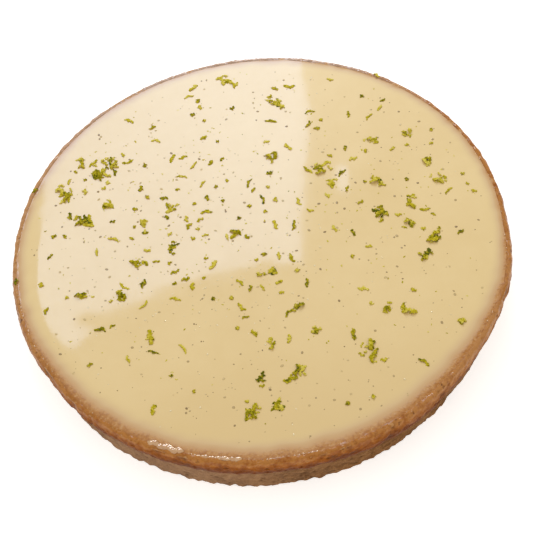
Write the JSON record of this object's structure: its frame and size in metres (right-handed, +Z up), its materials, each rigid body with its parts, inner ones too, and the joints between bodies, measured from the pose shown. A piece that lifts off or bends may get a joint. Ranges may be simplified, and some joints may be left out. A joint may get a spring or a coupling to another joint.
{
  "type": "yuzu lemon tart",
  "caption": "Round shortcrust tart case filled to the brim with glazed yuzu and lemon cream, with loose shreds of green citrus zest over the top.",
  "frame": {"origin": "centre of the tart's flat underside, on the surface it stands on", "axes": "+Z up through the middle of the tart; the pictured near side faces -Y, with +X to its right"},
  "size_m": [0.2198, 0.2197, 0.0284],
  "materials": {
    "shortcrust": "baked sandy pastry, with a browned glazed lip",
    "lemon_cream": "pale yellow set cream under a clear glaze, with fine dark specks and green zest"
  },
  "bodies": {
    "root": {"pastry_case": "shortcrust", "lemon_cream": "lemon_cream"}
  },
  "joints": []
}
